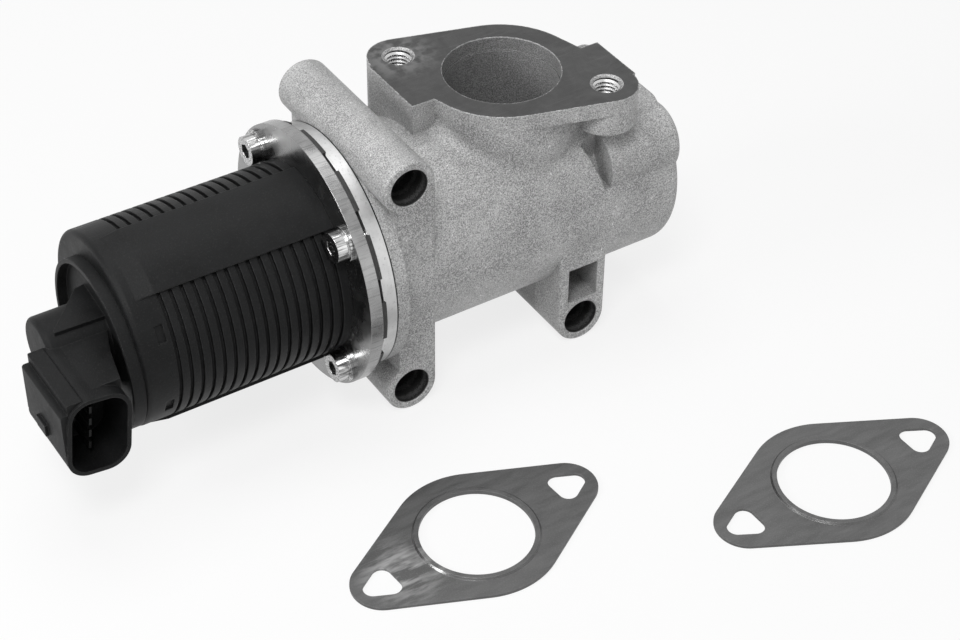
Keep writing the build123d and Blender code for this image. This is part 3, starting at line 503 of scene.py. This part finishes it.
def mesh_piece(name, points, faces, mat, smooth=True):
    """A mesh object of these corners, which rides on nothing yet."""
    mesh = bpy.data.meshes.new(name)
    mesh.from_pydata([tuple(p) for p in points], [], faces)
    mesh.validate()
    mesh.materials.append(mat)
    for face in mesh.polygons:
        face.use_smooth = smooth
    mesh.set_sharp_from_angle(angle=math.radians(SHARP_ANGLE))
    obj = bpy.data.objects.new(name, mesh)
    bpy.context.scene.collection.objects.link(obj)
    return obj


def swept(sections):
    """Faces of a tube through rings of equally many points, with its ends closed."""
    count = len(sections[0])
    points = [p for ring in sections for p in ring]
    faces = []
    for i in range(len(sections) - 1):
        for k in range(count):
            a = i * count + k
            b = i * count + (k + 1) % count
            faces.append((a, b, b + count, a + count))
    last = (len(sections) - 1) * count
    faces.append(tuple(reversed(range(count))))
    faces.append(tuple(range(last, last + count)))
    return points, faces


def thread(name, centre, mat):
    """Raised turns of a screw thread on the wall of a hole."""
    count = THREAD_TURNS * THREAD_STEPS
    rings = []
    for i in range(count + 1):
        angle = 2 * math.pi * i / THREAD_STEPS
        z = THREAD_FROM_Z - THREAD_PITCH * i / THREAD_STEPS
        turns_from_end = min(i, count - i) / THREAD_STEPS
        rise = THREAD_DEPTH * min(1.0, 0.15 + 2.0 * turns_from_end)
        profile = ((THREAD_SINK, THREAD_ROOT), (-rise, THREAD_CREST),
                   (-rise, -THREAD_CREST), (THREAD_SINK, -THREAD_ROOT))
        ring = []
        for out, up in profile:
            r = THREAD_R + out
            at = (centre[0] + r * math.cos(angle), centre[1] - r * math.sin(angle), z + up * THREAD_PITCH)
            ring.append(at)
        rings.append(ring)
    piece = mesh_piece(name, *swept(rings), mat, smooth=False)
    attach(piece, "valve_body")


def fillet_ring(centre, near_a, near_b, root, steps=8):
    """Section of a fillet: an arc round its centre between two touching points, closed at the root."""
    centre, near_a, near_b = Vector(centre), Vector(near_a), Vector(near_b)
    a = near_a - centre
    b = near_b - centre
    radius = a.length
    ring = []
    for i in range(steps + 1):
        way = a.lerp(b, i / steps)
        ring.append(centre + way.normalized() * radius)
    ring.append(Vector(root))
    return ring


def neck_fillet():
    """Cast fillet where the round neck of the port meets the barrel."""
    rho = NECK_FILLET
    rings = []
    for i in range(FILLET_STEPS + 1):
        angle = math.radians(FILLET_FROM + i * (FILLET_TO - FILLET_FROM) / FILLET_STEPS)
        c, s = math.cos(angle), math.sin(angle)
        cx, cy = (NECK_R + rho) * c, (NECK_R + rho) * s
        cz = math.sqrt((BARREL_R + rho) ** 2 - cy * cy)
        k = BARREL_R / (BARREL_R + rho)
        on_neck = (NECK_R * c, NECK_R * s, BARREL_Z + cz)
        on_barrel = (cx, cy * k, BARREL_Z + cz * k)
        barrel_top = BARREL_Z + math.sqrt(BARREL_R ** 2 - (NECK_R * s) ** 2)
        root = (NECK_R * c * NECK_ROOT_IN, NECK_R * s * NECK_ROOT_IN, barrel_top - NECK_ROOT_SINK)
        rings.append(fillet_ring((cx, cy, BARREL_Z + cz), on_neck, on_barrel, root))
    piece = mesh_piece("neck_fillet", *swept(rings), FILLET_CAST)
    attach(piece, "valve_body")


def bulge_fillet():
    """Cast fillet along the lower side of the bulge, between two cylinders with parallel axes."""
    big = BARREL_R + BULGE_FILLET
    small = BULGE_R + BULGE_FILLET
    across = Vector((BULGE_Y, BULGE_Z - BARREL_Z))
    gap = across.length
    along = (big ** 2 - small ** 2 + gap ** 2) / (2 * gap)
    side = math.sqrt(big ** 2 - along ** 2)
    unit = across.normalized()
    centre = unit * along + Vector((unit.y, -unit.x)) * -side
    if centre.y > BULGE_Z - BARREL_Z:
        centre = unit * along + Vector((unit.y, -unit.x)) * side
    on_barrel = centre * (BARREL_R / big)
    on_bulge = across + (centre - across) * (BULGE_R / small)
    root = (on_barrel + on_bulge) * 0.5 * BULGE_ROOT_IN
    rings = []
    for x in BULGE_FILLET_X:
        ends = [(x, v.x, BARREL_Z + v.y) for v in (centre, on_barrel, on_bulge, root)]
        rings.append(fillet_ring(*ends))
    piece = mesh_piece("bulge_fillet", *swept(rings), FILLET_CAST)
    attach(piece, "valve_body")


thread_metal = plain_metal("thread_metal", 0.5, 0.68, 0.22)
for number, centre in enumerate(THREAD_PLACES):
    thread("port_thread_%d" % (number + 1), centre, thread_metal)
neck_fillet()
bulge_fillet()


# Stage, lamps and camera

def area_light(name, at, size, power):
    data = bpy.data.lights.new(name, "AREA")
    data.energy = power
    data.size = size
    obj = bpy.data.objects.new(name, data)
    obj.location = at
    direction = Vector(LAMP_TARGET) - Vector(at)
    obj.rotation_euler = direction.to_track_quat("-Z", "Y").to_euler()
    bpy.context.scene.collection.objects.link(obj)


def directly_seen(tree):
    """Rays that show the white surroundings: to the camera, in reflections and through glass."""
    path = add(tree, "LightPath").outputs
    seen = maths(tree, "MAXIMUM", path["Is Camera Ray"], path["Is Glossy Ray"])
    return maths(tree, "MAXIMUM", seen, path["Is Transmission Ray"])


def studio():
    """Pale floor, white surroundings for the camera and for reflections, and soft lamps."""
    mat = bpy.data.materials.new("floor")
    mat.use_nodes = True
    tree = mat.node_tree
    tree.nodes.clear()
    seen = directly_seen(tree)
    white = add(tree, "Emission", Color=WHITE, Strength=1.0)
    matte = add(tree, "BsdfDiffuse", Color=FLOOR_COLOUR)
    x, y, _ = add(tree, "SeparateXYZ", Vector=place(tree)).outputs
    shade = span(tree, distance(tree, x, y, (0.0, 0.0)), FLOOR_FADE[0], FLOOR_FADE[1], FLOOR_SHADE, 0.0)
    part = add(tree, "MixShader", i0=shade, i1=white.outputs[0], i2=matte.outputs[0])
    both = add(tree, "MixShader", i0=seen, i1=matte.outputs[0], i2=part.outputs[0])
    out = add(tree, "OutputMaterial")
    tree.links.new(both.outputs[0], out.inputs["Surface"])
    corners = [(FLOOR_HALF * x, FLOOR_HALF * y, 0) for x, y in ((-1, -1), (1, -1), (1, 1), (-1, 1))]
    floor = mesh_piece("floor", corners, [(0, 1, 2, 3)], mat, smooth=False)
    floor.location.z = FLOOR_Z - FLOOR_DROP

    world = bpy.data.worlds.new("studio")
    bpy.context.scene.world = world
    world.use_nodes = True
    tree = world.node_tree
    tree.nodes.clear()
    seen = directly_seen(tree)
    lit = add(tree, "Background", Color=WHITE, Strength=WORLD_LIGHT)
    white = add(tree, "Background", Color=WHITE, Strength=1.0)
    both = add(tree, "MixShader", i0=seen, i1=lit.outputs[0], i2=white.outputs[0])
    out = add(tree, "OutputWorld")
    tree.links.new(both.outputs[0], out.inputs["Surface"])

    for lamp in LAMPS:
        area_light(*lamp)


def camera():
    data = bpy.data.cameras.new("camera")
    data.sensor_width = CAM_SENSOR
    data.lens = CAM_LENS
    data.clip_start, data.clip_end = CAM_CLIP
    obj = bpy.data.objects.new("camera", data)
    right = Vector(CAM_RIGHT).normalized()
    back = right.cross(Vector(CAM_UP)).normalized()
    up = back.cross(right)
    turn = Matrix((right, up, back)).transposed().to_4x4()
    obj.matrix_world = Matrix.Translation(Vector(CAM_AT)) @ turn
    bpy.context.scene.collection.objects.link(obj)
    bpy.context.scene.camera = obj


studio()
camera()
bpy.context.scene.view_settings.view_transform = "Standard"
